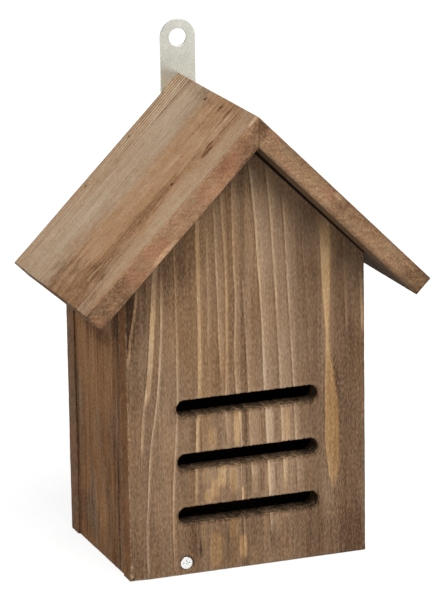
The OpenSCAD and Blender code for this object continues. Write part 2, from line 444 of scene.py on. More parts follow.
# Light lines of the front panel: paths are (height, distance from the middle)
FRONT_STREAKS = [
    Streak([(168, -63.6), (152, -65.5), (139, -67.6), (124, -69.3)], 0.15, 0.9, 1.0, 0.5),
    Streak([(182, -53.4), (150, -55.2), (125, -57.2), (110, -58.9), (101, -60.0)], 0.15, 2.3, 1.0, 0.45),
    Streak([(108, -58.9), (94, -60.8), (72, -62.4)], 0.1, 0.7, 1.2, 0.3),
    Streak([(174, -49.6), (140, -49.8), (108, -52.3), (75, -56.8), (45, -59.0), (28, -60.0), (3, -59.4)],
           0.16, 0.5, 1.8, 0.15),
    Streak([(190, -41.0), (147, -40.8), (104, -41.1), (47, -44.2), (3, -44.5)], 0.12, 0.4, 1.6, 0.1),
    Streak([(204, -28.2), (165, -28.3), (103, -28.5), (84, -29.7), (42, -30.9)], 0.11, 1.3, 2.0, 0.4),
    Streak([(194, -22.4), (160, -22.2), (130, -22.8)], 0.07, 0.5, 2.0, 0.1),
    Streak([(209, -18.2), (178, -17.3), (144, -16.3), (112, -15.2)], 0.13, 0.6, 3.5, 0.2),
    Streak([(215, -14.2), (192, -13.1), (173, -11.9), (134, -11.5), (101, -12.6), (80, -13.3)],
           0.1, 0.6, 2.4, 0.2),
    Streak([(222, -7.8), (182, -7.4), (153, -6.3), (115, -6.9), (81, -4.4), (52, -3.8), (24, -2.7),
            (4, -2.5)], 0.12, 0.6, 3.0, 0.15),
    Streak([(166, -2.2), (104, 0.4), (80, 1.1), (51, 2.7)], 0.1, 0.6, 4.0, 0.05),
    Streak([(231, 2.2), (199, 5.7), (171, 7.3), (146, 8.4), (122, 9.6), (105, 10.4), (50, 12.2),
            (18, 13.2)], 0.18, 0.8, 7.5, 0.0),
    Streak([(226, 12.6), (193, 15.5), (170, 16.7), (145, 17.9), (102, 19.3), (45, 21.9)],
           0.13, 0.9, 6.0, 0.1),
    Streak([(209, 22.0), (174, 24.1), (140, 25.8), (104, 27.4), (42, 29.5)], 0.12, 0.4, 4.0, 0.05),
    Streak([(186, 33.4), (140, 36.0), (105, 37.4)], 0.05, 0.5, 3.0, 0.0),
    Streak([(185, 57.6), (150, 58.6), (130, 59.0)], 0.05, 0.4, 1.5, 0.1),
    Streak([(164, 67.3), (128, 68.4)], 0.1, 1.1, 0.8, 0.5),
]
# Edges of the broad tan flame right of the middle: (height, distance from the middle)
FLAME_LEFT = [
    (196, 42.4), (180, 43.6), (150, 45.2), (125, 46.5), (100, 46.2), (70, 46.2), (56, 47.3),
    (47, 48.4), (40, 49.6),
]
FLAME_RIGHT = [
    (196, 49.4), (180, 50.4), (150, 50.0), (125, 49.0), (105, 52.0), (80, 54.9), (58, 54.8),
    (47, 54.2), (40, 52.8),
]
# Patches of the front: (across, height, half width, half height, level)
FRONT_TAN_SPOTS = [
    (-6.4, 81, 1.9, 10, 0.85), (-10.8, 80, 1.4, 9, 0.25), (-20.5, 77, 2.6, 6, 0.5),
    (-25.5, 80, 1.6, 9, 0.2), (-29.7, 80, 0.7, 8, 0.35), (12.3, 80, 1.8, 10, 0.12),
    (20.0, 85, 1.2, 6, 0.12), (23.8, 79, 1.5, 9, 0.45), (-15.5, 55, 2.5, 7, 0.8),
    (-19.5, 48, 2.6, 5.5, 0.75), (-23.5, 44, 2.2, 4, 0.65), (-8.6, 52, 2.4, 8, 0.55),
    (-24.5, 56, 2.5, 5, 0.25), (3.8, 50, 1.8, 8, 0.25), (12.4, 50, 1.7, 8, 0.2),
    (21.4, 50, 1.8, 8, 0.12), (-3.2, 42, 0.7, 5, 1.00), (-3.4, 12, 2.3, 6.5, 0.95),
    (-19.5, 12, 3.6, 10, 0.55), (-9.0, 24, 2.4, 6, 0.45), (-27.0, 22, 1.5, 8, 0.25),
    (10.0, 22, 1.2, 8, 0.15), (18.0, 24, 1.4, 6, 0.15),
]
FRONT_GROOVES = [
    (-1.8, 80, 1.7, 10, -0.15), (5.0, 80, 2.6, 10, 0.06), (9.2, 80, 1.0, 10, -0.13),
    (13.4, 80, 2.4, 10, 0.09), (17.0, 80, 0.7, 10, -0.12), (20.2, 80, 1.8, 10, 0.05),
    (28.5, 80, 1.7, 10, 0.05), (31.8, 80, 0.7, 10, -0.07), (-13.0, 80, 0.5, 9, -0.18),
    (-27.4, 80, 0.6, 9, -0.13), (-31.6, 80, 1.3, 9, -0.08), (-3.4, 55, 0.5, 8, -0.24),
    (0.6, 50, 1.8, 8, -0.1), (4.6, 50, 2.0, 8, 0.07), (8.6, 50, 1.2, 8, -0.15),
    (13.4, 50, 2.4, 8, 0.09), (16.8, 50, 0.6, 8, -0.17), (20.2, 50, 2.0, 8, 0.08),
    (24.2, 50, 0.5, 8, -0.12), (28.8, 50, 0.8, 8, -0.1), (-12.6, 50, 0.6, 8, -0.12),
    (-29.0, 50, 1.2, 9, -0.08), (-28.5, 14, 0.6, 5, -0.26), (2.5, 20, 1.5, 9, -0.08),
    (14.0, 18, 1.3, 9, -0.1), (23.0, 16, 1.2, 9, -0.1), (-12.5, 14, 1.0, 9, -0.12),
    (-33.0, 20, 2.0, 9, -0.06),
]
# Tone clouds of the wood; the dark patches at the top of the left edge, under the left roof board, are
# painted shade
FRONT_CLOUDS_AND_SHADE = [
    (62, 70, 12, 75, -0.05), (60, 8, 26, 16, -0.04), (36, 160, 9, 26, -0.04), (-42, 78, 7, 9, 0.08),
    (-60, 15, 14, 22, -0.05), (12, 190, 14, 24, 0.05), (6, 66, 32, 26, 0.05),
    (0, 226, 16, 14, -0.11), (-66, 158, 9, 28, -0.14), (-40, 186, 18, 20, -0.11),
    (0, 6, 90, 30, -0.08), (46, 184, 9, 16, 0.14), (34, 204, 6, 14, 0.08), (-55, 108, 6, 14, -0.07),
    (-15, 142, 5, 24, 0.06), (-70, 152, 6, 20, -0.26), (-42, 170, 9, 18, -0.08),
    (66, 160, 8, 30, 0.08), (-15, 58, 8, 8, 0.07), (-4, 140, 4, 30, -0.05), (50, 80, 6, 36, -0.13),
    (47, 154, 4, 26, 0.06), (-9, 80, 4, 9, 0.06), (-9, 50, 6, 9, 0.05), (-66, 112, 4, 20, -0.09),
]
FRONT_HUE_SPOTS = [(-20, 165, 22, 60, 0.9), (30, 70, 45, 60, -0.5)]
# Light and dark bands of the front: (distance from the middle, level)
FRONT_BANDS = [
    (-72, -0.06), (-60, -0.03), (-45, 0.0), (-38, -0.03), (-33, -0.06), (-29, 0.0), (-24.5, 0.04),
    (-20, -0.03), (-16.4, -0.06), (-13, 0.03), (-9.6, -0.06), (-6, 0.02), (-2, -0.1), (2, 0.03),
    (7.5, -0.02), (10, 0.07), (15, 0.05), (18, 0.01), (22, 0.06), (27, 0.03), (31, -0.01),
    (35, -0.08), (42, -0.1), (46, -0.03), (52, -0.07), (57, -0.14), (61, -0.15), (72, -0.07),
]


def slot_darkening(g, fibre):
    """Darker face round the entry slots, more so towards the bottom, and a pale torn line above them."""
    row = g.math("ROUND", g.scale(g.less(g.along, SLOT_LOW), 1.0 / SLOT_PITCH))
    row = g.math("MINIMUM", g.math("MAXIMUM", row, 0.0), SLOT_COUNT - 1.0)
    up = g.less(g.along, g.math("MULTIPLY_ADD", row, SLOT_PITCH, SLOT_LOW))
    aside = g.math("MAXIMUM", g.less(g.math("ABSOLUTE", g.across), (SLOT_W - SLOT_H) / 2), 0.0)
    away = g.less(g.math("SQRT", g.add(g.scale(up, up), g.scale(aside, aside))), SLOT_H / 2)
    away = g.weigh(away, (fibre, 0.5))
    # Darkens the face round each slot mouth, more towards its lower side
    mouth_darkening = g.scale(g.span(away, 2.2, 0.2, smooth=True), g.span(up, 4.0, -2.0, -0.10, -0.22))
    torn_line = g.scale(g.span(g.less(away, 1.4), 0.7, 0.0), g.span(up, 4.0, 4.8, 0.0, 0.10))
    return g.add(mouth_darkening, torn_line)


def front_wood():
    g = Grain("front_wood", ORIGIN, X, Y, Z, 2.0)
    flutter = g.field(0.10, 0.016, 3.0)
    u = g.weigh(g.across, (flutter, 0.45))
    fine = g.field(1.5, 0.44, 13.0, detail=1.0)
    fibre = g.field(0.85, 0.030, 23.0, rough=0.6)
    strand = g.field(0.36, 0.008, 29.0, rough=0.6)
    cloud = g.field(0.035, 0.016, 43.0)
    broken = g.field(0.12, 0.04, 51.0)
    light, warm = streak_lines(g, u, FRONT_STREAKS, broken)
    flame, flame_edge = between(g, u, FLAME_LEFT, FLAME_RIGHT)
    ragged = g.add(g.scale(fibre, 0.22), g.scale(fine, 0.18))
    tan = g.spots(FRONT_TAN_SPOTS, ragged, crisp=True)
    raised = g.scale(light, 2.2)
    tone = g.add(0.515, raised, g.scale(fine, 0.135), g.scale(fibre, 0.062), g.scale(strand, 0.05),
                 g.scale(cloud, 0.04), g.curve(u, FRONT_BANDS, 0.25), g.spots(FRONT_CLOUDS_AND_SHADE, ragged),
                 g.spots(FRONT_GROOVES, ragged, crisp=True), slot_darkening(g, fibre))
    flame_rim = g.scale(g.span(flame_edge, 2.5, 0.2), g.scale(flame, 0.12))
    tan_tone = g.add(tone, flame_rim, g.scale(tan, 0.08), g.scale(flame, 0.10), 0.05)
    tint = g.math("MINIMUM", g.add(g.scale(flame, 0.95), g.scale(warm, 1.2), tan), 1.0)
    colour = g.mix(tint, g.ramp(tone, STAIN), g.ramp(tan_tone, TAN))
    hue = g.add(g.field(0.16, 0.015, 91.0), g.spots(FRONT_HUE_SPOTS, ragged))
    hue = g.span(hue, -0.5, 0.9)
    colour = g.mix(hue, colour, g.mix(1.0, colour, (1.06, 1.0, 0.88), "MULTIPLY"))
    # Painted shadow: a dark line on the gable face right under the roof boards, where they meet it
    below_roof = g.scale(g.less(g.less(APEX, g.along), g.math("ABSOLUTE", g.across)), math.cos(PITCH))
    roof_gap_shade = g.less(below_roof, g.span(g.math("ABSOLUTE", g.across), 0, HALF, 1.9, 0.9))
    colour = g.mix(g.span(roof_gap_shade, 0.3, -0.2), colour, DEEP_SHADE)
    rim = g.span(g.across, -60, 60, 0.40, -0.45)
    return wood_finish(g, colour, tone, raised, fine, fibre, 0.45, 0.35, rim=rim, sawn_palette=SIDE_STAIN,
                       torn_grain=0.42)


def plain_wood(name, across, into, along, seed, warm, grey, spacing, spots=(), hues=()):
    """A board without placed streaks: growth rings round a heart that lies behind the board."""
    g = Grain(name, ORIGIN, across, into, along, seed)
    wander = g.field(0.03, 0.008, 3.0)
    fine = g.field(1.5, 0.6, 13.0, detail=1.0)
    fibre = g.field(0.80, 0.09, 23.0, rough=0.6)
    strand = g.field(0.30, 0.02, 29.0, rough=0.6)
    cloud = g.field(0.05, 0.025, 43.0)
    broken = g.field(0.12, 0.03, 51.0)
    x = g.add(g.across, 20.0 + 3.0 * seed)
    y = g.add(g.into, 38.0)
    far = g.math("SQRT", g.add(g.scale(x, x), g.scale(g.scale(y, y), 0.6)))
    turns = g.math("FRACT", g.scale(g.weigh(far, (wander, 3.0), (strand, 0.4)), 1.0 / spacing))
    lines = g.ramp(turns, [(0.0, 0.75), (0.09, 0.5), (0.55, 0.15), (0.92, 0.0), (1.0, 0.75)])
    lines = g.scale(lines, g.weigh(0.75, (broken, 0.45)))
    ragged = g.add(g.scale(fibre, 0.3), g.scale(strand, 0.3))
    raised = g.weigh(0.51, (lines, 0.17), (fine, 0.20), (fibre, 0.14), (strand, 0.12), (cloud, 0.07))
    tone = raised
    hue = g.add(0.24, g.scale(cloud, 0.4), g.scale(g.field(0.12, 0.02, 97.0), 0.5))
    if spots:
        tone = g.add(tone, g.spots(spots, ragged))
        hue = g.add(hue, g.spots(hues, ragged))
    colour = g.mix(g.span(hue, 0.0, 1.0), g.ramp(tone, warm), g.ramp(tone, grey))
    return wood_finish(g, colour, tone, raised, fine, fibre, 1.0, 0.45)


# Side boards: across is y, from the front to the back, and along is up
# Tone spots of the side boards; the dark ones at the top and near the front top, (0, 156), (-20, 148) and
# (-24, 118), are painted shadow under the eave and the roof's front edge
SIDE_TONE_AND_SHADE_SPOTS = [
    (-21.5, 34, 1.6, 52, -0.34), (-25.5, 60, 3.0, 90, -0.15), (47.5, 95, 2.6, 60, -0.16),
    (47.0, 25, 2.0, 40, -0.12), (30, 18, 16, 12, -0.1), (-24, 118, 10, 34, -0.12),
    (2, 106, 24, 20, 0.04), (-13, 40, 8, 52, -0.17), (-2, 34, 5, 24, -0.06),
    (10, 130, 22, 5, -0.12), (0, 156, 60, 28, -0.17), (37, 60, 3, 40, -0.07),
    (45, 50, 5, 50, -0.08), (-20, 148, 14, 12, -0.14), (6, 96, 4, 50, -0.08),
    (35, 116, 7, 20, 0.06),
]
SIDE_HUE_SPOTS = [
    (4, 110, 26, 26, -0.6), (36, 112, 7, 24, -0.6), (30, 18, 14, 12, 0.3), (4, 22, 9, 14, -0.5),
    (-23, 120, 8, 26, 0.3), (36, 60, 10, 14, 0.4),
]

# Back panel: across is from the middle, along is up
BACK_TONE_SPOTS = [
    (-52, 90, 2.2, 110, -0.16), (-44, 70, 5.0, 90, 0.08), (-30, 130, 1.4, 90, -0.15),
    (-21, 90, 2.6, 80, 0.1), (-9, 120, 1.2, 110, -0.14), (2, 60, 4.0, 90, 0.07),
    (14, 150, 1.6, 80, -0.13), (24, 70, 3.4, 70, 0.1), (33, 110, 1.3, 120, -0.15),
    (45, 60, 5.0, 60, -0.08), (56, 100, 2.0, 110, 0.09), (63, 60, 2.0, 90, -0.12),
]
BACK_HUE_SPOTS = [(-44, 70, 8, 90, 0.3), (2, 60, 10, 90, -0.4), (45, 60, 12, 60, 0.3)]

# Roof boards: across is from the front edge, along is down from the ridge
ROOF_TONE_SPOTS = [
    (22.5, 31, 2.6, 4.2, -0.3), (25.5, 27, 1.8, 3.0, -0.26), (30.0, 86, 7.0, 36, -0.15),
    (27.5, 55, 4.4, 24, -0.07), (20.0, 100, 2.2, 20, -0.1), (34, 70, 1.6, 30, -0.06),
    (40, 138, 36, 24, -0.22), (47, 6, 1.6, 2.6, -0.26), (31.0, 17, 1.1, 13, 0.24),
    (28.2, 22, 0.8, 9, 0.2), (29.6, 20, 0.5, 12, -0.12), (24.5, 12, 1.2, 9, -0.12),
    (34.5, 10, 1.4, 9, -0.12), (9, 70, 8, 60, 0.07), (106, 62, 16, 60, 0.05),
    (24, 112, 12, 11, -0.11), (29, 15, 8, 18, -0.1), (60, 1, 90, 7, -0.08), (78, 12, 8, 22, -0.06),
    (105, 14, 2.8, 20, -0.16), (1, 40, 1.3, 80, -0.12), (44, 14, 6, 14, -0.05),
    (53, 20, 1.2, 14, -0.07), (71, 5.5, 1.4, 1.6, -0.3), (29, 56, 1.3, 1.3, -0.22),
    (119, 46, 1.4, 1.5, -0.16), (119, 83, 1.4, 1.5, -0.16), (85, 60, 14, 50, 0.03),
    (1.5, 3, 2.2, 4.5, 0.45), (91, 92, 1.0, 12, 0.06), (94, 92, 0.8, 12, -0.06),
]
# From grey to warm: (distance from the front edge, level)
ROOF_HUE = [
    (0, 0.2), (6, 0.65), (16, 0.5), (24, 0.1), (45, 0.0), (60, 0.1), (70, 0.6), (85, 0.9),
    (105, 0.8), (125, 0.6),
]
RIGHT_ROOF_SPOTS = ROOF_TONE_SPOTS[2:7]
# Fascias, the roof boards' front edges: across is into the board, along is down from the ridge
LEFT_FASCIA_SPOTS = [
    (6, 3, 9, 6, -0.16), (6, 22, 9, 14, -0.12), (10.6, 88, 1.8, 9, 0.32), (6, 126, 12, 20, -0.16),
    (8, 45, 5, 4, 0.12), (3, 30, 3, 10, -0.06), (11.5, 22, 1.0, 12, -0.2), (9, 74, 4, 6, 0.1),
    (2, 60, 2, 12, 0.06),
]
RED_SPOTS = [(6, 38, 7, 15, 0.45), (4, 66, 4, 10, 0.3), (6, 96, 8, 16, 0.5), (6, 3, 8, 8, -0.4)]
RIGHT_FASCIA_SPOTS = [
    (5, 4, 9, 6, -0.22), (6, 134, 9, 8, -0.2), (2, 66, 1.6, 3, 0.25), (6, 72, 5, 4, -0.08),
    (9, 50, 4, 18, 0.05), (7, 100, 6, 14, 0.05), (6, 30, 9, 26, 0.05),
]


def roof_axes(side):
    """Down a roof board and into it."""
    down = Vector((side * math.cos(PITCH), 0, -math.sin(PITCH)))
    inward = Vector((-side * math.sin(PITCH), 0, -math.cos(PITCH)))
    return down, inward


def roof_wood(name, side, seed, spots, edge_tone, edge_spots, rim, red_from, red_spots=()):
    down, inward = roof_axes(side)
    g = Grain(name, (0, ROOF_LO.y, RIDGE), Y, inward, down, seed)
    wander = g.field(0.05, 0.012, 3.0)
    u = g.weigh(g.across, (wander, 1.2))
    fine = g.field(1.0, 0.6, 13.0, rough=0.7)
    fibre = g.field(0.55, 0.10, 23.0, rough=0.6)
    strand = g.field(0.22, 0.02, 29.0, rough=0.6)
    cloud = g.field(0.05, 0.02, 43.0)
    ripple = g.field(0.12, 0.22, 53.0, rough=0.6)
    ragged = g.add(g.scale(fibre, 0.35), g.scale(strand, 0.35))
    wave = g.math("SINE", g.scale(g.weigh(u, (strand, 0.5)), 2 * math.pi / ROOF_LINE_PITCH))
    late = g.scale(g.scale(g.span(u, 104, 108), g.span(g.along, 85, 20, 0.25, 1.0)), wave)
    thread = g.scale(g.field(0.95, 0.014, 33.0, detail=1.0), g.span(u, 70, 100, 0.2, 1.0))
    raised = g.weigh(0.565, (fine, 0.14), (fibre, 0.085), (strand, 0.06), (cloud, 0.05),
                     (ripple, 0.035), (late, 0.26), (thread, 0.10))
    tone = g.add(raised, g.spots(spots, ragged))
    hue = g.weigh(g.curve(u, ROOF_HUE, 1.0), (cloud, 0.25), (ripple, 0.15))
    colour = g.mix(g.span(hue, 0.0, 1.0), g.ramp(tone, ROOF_WARM), g.ramp(tone, ROOF_GREY))
    # Dark arris lines at the eave end and along the back edge: darker end grain at the eave, painted shade
    # along the back edge
    rim = g.math("MINIMUM", g.span(g.along, 128, 139, rim, -0.55), g.span(g.across, 114, 124, 0.2, -0.35))
    rim = g.scale(rim, g.span(g.along, 12, 20, 0.3, 1.0))
    return wood_finish(g, colour, tone, raised, fine, fibre, 0.8, edge_tone, edge_spots, rim,
                       red_from=red_from, red_spots=red_spots)


# Boards


# A ring's point: its place on the outline, its depth, and its marks, each from 0 to 1. They say how worn
# it is, how far inside the house, a hole or under the roof and so how much painted shade it gets, whether
# on a sawn edge, and whether on an outer arris.
Ring = namedtuple("Ring", "point depth wear inner edge rim")


def unit(vector):
    return vector.normalized() if vector.length > 1e-9 else vector


def resample(corners, pieces):
    """Points along a closed outline, pieces[k] to side k, each with its inward offset direction."""
    points, normals = [], []
    count = len(corners)
    for k in range(count):
        here, ahead = corners[k], corners[(k + 1) % count]
        along = unit(ahead - here)
        inward = Vector((-along.y, along.x))
        behind = unit(here - corners[k - 1])
        both = unit(inward + Vector((-behind.y, behind.x)))
        for j in range(pieces[k]):
            points.append(here.lerp(ahead, j / pieces[k]))
            normals.append(both / max(0.4, both.dot(inward)) if j == 0 else inward)
    return points, normals


def waver(p, pace, seed):
    """Smooth noise from -1 to 1 along an outline."""
    return noise.noise(Vector((p.x * pace, p.y * pace, seed)))


def wavy(points, normals, seed):
    """Moves an edge's points slightly inwards, as a saw leaves them."""
    moved = []
    for p, n in zip(points, normals):
        slow = waver(p, 0.035, seed)
        fast = waver(p, 0.35, seed + 9)
        moved.append(p + n * SAW_WAVE * (0.9 * slow + 0.4 * fast + 0.6))
    return moved


def eased(points, seed, base):
    """How far an arris is rounded at each point."""
    ease = []
    for p in points:
        slow = waver(p, 0.25, seed)
        fast = waver(p, 1.1, seed + 5)
        ease.append(base * (1.0 + 0.8 * slow + 0.45 * fast))
    return ease


def chip(ease, points, seed, count):
    """Deepens an arris at a few random places."""
    dice = random.Random(seed)
    for _ in range(count):
        middle = points[dice.randrange(len(points))]
        half = dice.uniform(*CHIP_LENGTH) / 2
        extra = dice.uniform(*CHIP_DEPTH)
        for i, p in enumerate(points):
            away = (p - middle).length / half
            if away < 1:
                ease[i] += extra * (1 - away ** 2) * dice.uniform(0.6, 1.0)
    return ease


class Board:
    """A sawn board: two matching outlines a thickness apart, with holes, in its own axes.

    The last argument is the inner mark of the far face, which lies inside the house or under the roof; it
    sets how much painted shade that face gets.
    """

    def __init__(self, node, origin, u, v, w, thickness, back_face_shade=0.0):
        self.node = node
        self.origin, self.u, self.v, self.w = (Vector(axis) for axis in (origin, u, v, w))
        self.thickness = thickness
        self.back_face_shade = back_face_shade
        self.mesh = bmesh.new()
        self.marks = [self.mesh.verts.layers.float.new(mark) for mark in ("wear", "inner", "edge", "rim")]
        self.tops, self.bottoms = [], []

    def add_rings(self, rings, smooth_from=1):
        """Joins rings of points with quads and returns the first and last ring's vertices."""
        made = []
        for ring in rings:
            verts = []
            for item in ring:
                place = self.origin + self.u * item.point.x + self.v * item.point.y + self.w * item.depth
                vert = self.mesh.verts.new(place * MM)
                for mark, value in zip(self.marks, item[2:]):
                    vert[mark] = value
                verts.append(vert)
            made.append(verts)
        for index, (a, b) in enumerate(zip(made, made[1:])):
            flat = index < smooth_from or index >= len(made) - 1 - smooth_from
            for i in range(len(a)):
                j = (i + 1) % len(a)
                face = self.mesh.faces.new((a[i], a[j], b[j], b[i]))
                face.smooth = not flat
        return made[0], made[-1]

    def arris(self, points, normals, ease, inner, from_top):
        """Rings that round one edge, from the flat face inwards."""
        rings = []
        for j in range(-1, ARRIS_STEPS + 1):
            ring = []
            turn = math.pi / 2 * max(j, 0) / ARRIS_STEPS
            for p, n, e in zip(points, normals, ease):
                offset = e + FLAT_RING if j < 0 else e * (1 - math.sin(turn))
                depth = 0.0 if j < 0 else e * (1 - math.cos(turn))
                worn = max(0.0, min(1.0, (e - 0.6) / 0.5)) if 0 < j < ARRIS_STEPS and inner == 0 else 0.0
                share = max(j, 0) / ARRIS_STEPS
                # Painted shade: an opening's arris darkens as it turns in, and the far face's flat ring
                # takes the board's far-face shade
                dark = inner * 0.55 * share ** 0.5
                if not from_top:
                    dark = self.back_face_shade if j < 0 else inner * (1 - 0.3 * share)
                w = depth if from_top else self.thickness - depth
                rim = 1.0 if j >= 0 and inner == 0 else 0.0
                ring.append(Ring(p + n * offset, w, worn, dark, share, rim))
            rings.append(ring)
        return rings

    def wall(self, top, bottom, n_top, n_bottom, ease_top, ease_bottom, seed, rough, inner):
        """Joins the two faces over both arrises, and keeps the rims for finish."""
        t = self.thickness
        rings = self.arris(top, n_top, ease_top, inner, True)
        rows = max(1, round((t - 1.0) / ROW_STEP))
        for row in range(1, rows):
            ring = []
            for i, (a, b) in enumerate(zip(top, bottom)):
                w = ease_top[i] + (t - ease_top[i] - ease_bottom[i]) * row / rows
                p = a.lerp(b, w / t)
                saw = rough * (0.5 + waver(p, 0.5, w * 0.3 + seed))
                # Painted shade, deeper further into an opening
                dark = inner * (0.50 + 0.14 * row / rows)
                ring.append(Ring(p + n_top[i].lerp(n_bottom[i], w / t) * saw, w, 0.0, dark, 1.0, 0.0))
            rings.append(ring)
        rings += self.arris(bottom, n_bottom, ease_bottom, inner, False)[::-1]
        first, last = self.add_rings(rings)
        self.tops.append(first)
        self.bottoms.append(last)

    def outline(self, corners_top, corners_bottom, seed, step=EDGE_STEP, chips=3, base=ARRIS, dress=None):
        count = len(corners_top)
        pieces = []
        for k in range(count):
            side = corners_top[(k + 1) % count] - corners_top[k]
            pieces.append(max(1, round(side.length / step)))
        top, n_top = resample(corners_top, pieces)
        bottom, n_bottom = resample(corners_bottom, pieces)
        top, bottom = wavy(top, n_top, seed), wavy(bottom, n_bottom, seed + 2)
        ease_top = chip(eased(top, seed + 3, base), top, seed, chips)
        ease_bottom = chip(eased(bottom, seed + 4, base), bottom, seed + 1, chips)
        if dress:
            dress(top, ease_top)
        self.wall(top, bottom, n_top, n_bottom, ease_top, ease_bottom, seed, SAW_ROUGH, 0.0)

    def opening(self, points, normals, ease_top, ease_bottom, seed):
        # Its walls, with inner mark 1, get painted shade
        self.wall(points, points, normals, normals, ease_top, ease_bottom, seed, SLOT_ROUGH, 1.0)

    def round_hole(self, centre, profile, sides, blind=False, from_top=True, dark=1.0):
        """A round hole: profile lists (radius, depth) from its mouth inwards."""
        rings = []
        for k, (radius, depth) in enumerate(profile):
            w = depth if from_top else self.thickness - depth
            ring = []
            for i in range(sides):
                angle = 2 * math.pi * i / sides
                # Past the mouth, the walls take dark as their inner mark: painted shade inside the hole
                ring.append(Ring(centre + Vector((math.cos(angle), math.sin(angle))) * radius, w, 0.0,
                                 0.0 if k == 0 else dark, 0.0, 0.0))
            rings.append(ring)
        first, last = self.add_rings(rings, smooth_from=0)
        (self.tops if from_top else self.bottoms).append(first)
        if blind:
            self.mesh.faces.new(last)
        else:
            (self.bottoms if from_top else self.tops).append(last)

    def finish(self, material, body, slot):
        """Fills both faces between their rims and adds the piece."""
        for rims in (self.tops, self.bottoms):
            edges = []
            for rim in rims:
                edges += [self.mesh.edges.get((rim[i], rim[(i + 1) % len(rim)])) for i in range(len(rim))]
            made = bmesh.ops.triangle_fill(self.mesh, use_beauty=True, use_dissolve=False, edges=edges)
            for item in made["geom"]:
                if isinstance(item, bmesh.types.BMFace):
                    item.smooth = False
        add_piece(self.mesh, material, body, slot, self.node)


def add_piece(mesh, material, body, slot, *nodes):
    """Makes a finished mesh the visible piece of its node."""
    bmesh.ops.recalc_face_normals(mesh, faces=mesh.faces)
    name = nodes[0] + ("_wood" if slot.startswith("wood") else "_steel")
    data = bpy.data.meshes.new(name)
    mesh.to_mesh(data)
    mesh.free()
    data.materials.append(material)
    piece = bpy.data.objects.new(name, data)
    bpy.context.scene.collection.objects.link(piece)
    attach(piece, body)
    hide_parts(*nodes)


def slot_loop(centre_z):
    """Outline of one entry slot, clockwise, with normals that point into the wood."""
    reach = (SLOT_W - SLOT_H) / 2
    r = SLOT_H / 2
    straight = round(2 * reach / SLOT_STEP)
    arc = round(math.pi * r / SLOT_STEP)
    points, normals = [], []
    for side in (1, -1):
        for i in range(straight):
            points.append(Vector((side * (2 * reach * i / straight - reach), centre_z + side * r)))
            normals.append(Vector((0.0, side)))
        for i in range(arc):
            angle = math.pi / 2 * side - math.pi * i / arc
            outward = Vector((math.cos(angle), math.sin(angle)))
            points.append(Vector((side * reach, centre_z)) + outward * r)
            normals.append(outward)
    return points, normals


def torn(normals, seed):
    """Rounding of a slot's mouth: torn fibres along its two edges, smoother round its ends."""
    dice = random.Random(seed)
    ease = []
    for n in normals:
        tear = dice.random()
        if n.y > 0.7:
            ease.append(0.16 + 0.9 * tear ** 3.0)
        elif n.y < -0.7:
            ease.append(0.30 + 0.8 * tear ** 2.5)
        else:
            ease.append(0.30 + 0.40 * tear ** 2)
    return ease


def entry_slots(board):
    for row in range(SLOT_COUNT):
        points, normals = slot_loop(SLOT_LOW + row * SLOT_PITCH)
        points = [p + n * SLOT_WAVE * waver(p, 0.3, row * 7.0) for p, n in zip(points, normals)]
        board.opening(points, normals, torn(normals, 40 + row), torn(normals, 60 + row), 80.0 + row)


def corners(*places):
    return [Vector(place) for place in places]


def gable_corners():
    return corners((-HALF, 0.0), (HALF, 0.0), (HALF, SHOULDER), (0.0, APEX), (-HALF, SHOULDER))


def pivot_profile(depth):
    """The countersunk hole of a pivot screw."""
    return [(SINK_R + FLAT_RING, 0.0), (SINK_R + 0.05, 0.0), (SINK_R - 0.1, 0.12),
            (BORE_R, SINK_R - BORE_R), (BORE_R, depth)]


def knock(middle, half, extra):
    """A dresser that wears an arris around one place."""
    def dress(points, ease):
        for i, p in enumerate(points):
            away = (p - middle).length / half
            if away < 1:
                ease[i] += extra * (1 - away ** 2)
    return dress


def front_panel(material):
    # The back face, inside the house, gets full painted shade, and the pivot hole half
    board = Board("front_panel", (0, LO.y, 0), X, Z, Y, PANEL_T, 1.0)
    worn_corner = knock(Vector((-HALF, 4.0)), 11.0, 1.1)
    board.outline(gable_corners(), gable_corners(), 11.0, chips=2, dress=worn_corner)
    entry_slots(board)
    board.round_hole(PIVOT, pivot_profile(PANEL_T), sides=40, dark=0.5)
    board.finish(material, "house", "wood_front")


def back_panel(material):
    lo, hi = mm_box("back_panel")
    # The inner face, inside the house, gets full painted shade, and the pivot hole half
    board = Board("back_panel", (0, hi.y, 0), X, Z, (0, -1, 0), hi.y - lo.y, 1.0)
    board.outline(gable_corners(), gable_corners(), 23.0)
    board.round_hole(PIVOT, pivot_profile(hi.y - lo.y), sides=40, dark=0.5)
    board.finish(material, "house", "wood_side")


def side_board(node, material):
    lo, hi = mm_box(node)
    side = 1 if hi.x > 0 else -1
    outer, inner = (hi.x, lo.x) if side > 0 else (lo.x, hi.x)
    tops = [APEX - abs(x) * math.tan(PITCH) for x in (outer, inner)]
    # The inner face, inside the house, gets full painted shade
    board = Board(node, (outer, 0, 0), Y, Z, (-side, 0, 0), abs(outer - inner), 1.0)
    faces = [corners((lo.y, 0), (hi.y, 0), (hi.y, top), (lo.y, top)) for top in tops]
    board.outline(*faces, 31.0 + side, step=1.8, base=0.5)
    board.finish(material, "house", "wood_side")


def floor_board(material):
    lo, hi = mm_box("floor_board")
    board = Board("floor_board", (0, lo.y, 0), X, Z, Y, hi.y - lo.y)
    face = corners((lo.x, lo.z), (hi.x, lo.z), (hi.x, hi.z), (lo.x, hi.z))
    board.outline(face, face, 47.0, step=2.0, chips=2)
    bore = SCREW_HI.y + 0.5 - lo.y
    # The blind bores get full painted shade
    for from_top in (True, False):
        profile = [(BORE_R + 0.5, 0.0), (BORE_R, 0.0), (BORE_R, bore)]
        board.round_hole(PIVOT, profile, sides=32, blind=True, from_top=from_top)
    board.finish(material, "floor", "wood_floor")


